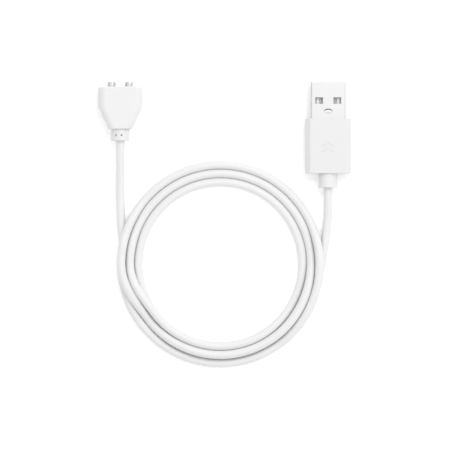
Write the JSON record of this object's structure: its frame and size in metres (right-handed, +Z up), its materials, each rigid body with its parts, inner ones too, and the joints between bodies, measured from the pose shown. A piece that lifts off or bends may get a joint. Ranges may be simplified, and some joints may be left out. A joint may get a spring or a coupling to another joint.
{
  "type": "magnetic charging cable",
  "caption": "White charging cable, laid in a coil, with a moulded magnetic head with sprung contact posts and a flat rectangular plug with a metal shell.",
  "frame": {"origin": "on the surface that the cable lies on, under the middle of the charging head's length and width, posts and collar included", "axes": "+Z up from that surface; +Y the way the contact posts point; +X from the charging head towards the plug"},
  "size_m": [0.0865, 0.0977, 0.0082],
  "materials": {
    "white_shell": "fine satin moulded plastic",
    "white_grip": "satin moulded vinyl",
    "white_relief": "satin soft vinyl",
    "white_cable": "smooth satin vinyl jacket",
    "insulator": "plain moulded plastic",
    "inner_mold": "translucent natural polyethylene",
    "post_metal": "polished plating",
    "barrel_metal": "thin gold plating",
    "spring_steel": "bright drawn wire",
    "magnet": "nickel plating",
    "solder": "bright solder",
    "wire_red": "smooth vinyl",
    "wire_black": "smooth vinyl",
    "shell_metal": "nickel plating with a fine grain",
    "contact_plating": "pale nickel plating",
    "crimp_steel": "plain stamped steel"
  },
  "bodies": {
    "cable": {"head_shell": "white_shell", "contact_plate": "white_shell", "contact_carrier": "insulator", "barrel_left": "barrel_metal", "barrel_right": "barrel_metal", "spring_left": "spring_steel", "spring_right": "spring_steel", "magnet_left": "magnet", "magnet_right": "magnet", "head_inner_mold": "inner_mold", "head_solder_joints": "solder", "head_wire_red": "wire_red", "head_wire_black": "wire_black", "head_strain_relief": "white_relief", "cable_head_tail": "white_cable", "cable_coil": "white_cable", "cable_plug_tail": "white_cable", "plug_shell": "shell_metal", "plug_insulator": "insulator", "contact_vbus": "contact_plating", "contact_d_minus": "contact_plating", "contact_d_plus": "contact_plating", "contact_gnd": "contact_plating", "plug_inner_mold": "inner_mold", "plug_solder_joints": "solder", "plug_wire_red": "wire_red", "plug_wire_black": "wire_black", "plug_cable_crimp": "crimp_steel", "plug_overmold": "white_grip", "plug_strain_relief": "white_relief"},
    "left_post": {"plunger_left": "post_metal"},
    "right_post": {"plunger_right": "post_metal"}
  },
  "joints": [
    {"name": "post_left_travel", "type": "slide", "parent": "cable", "child": "left_post", "axis": [0, -1, 0], "range_m": [0, 0.0008], "stiffness_N_per_m": 660, "springref_m": -0.0004, "deforming": ["spring_left"]},
    {"name": "post_right_travel", "type": "slide", "parent": "cable", "child": "right_post", "axis": [0, -1, 0], "range_m": [0, 0.0008], "stiffness_N_per_m": 660, "springref_m": -0.0004, "deforming": ["spring_right"]}
  ]
}
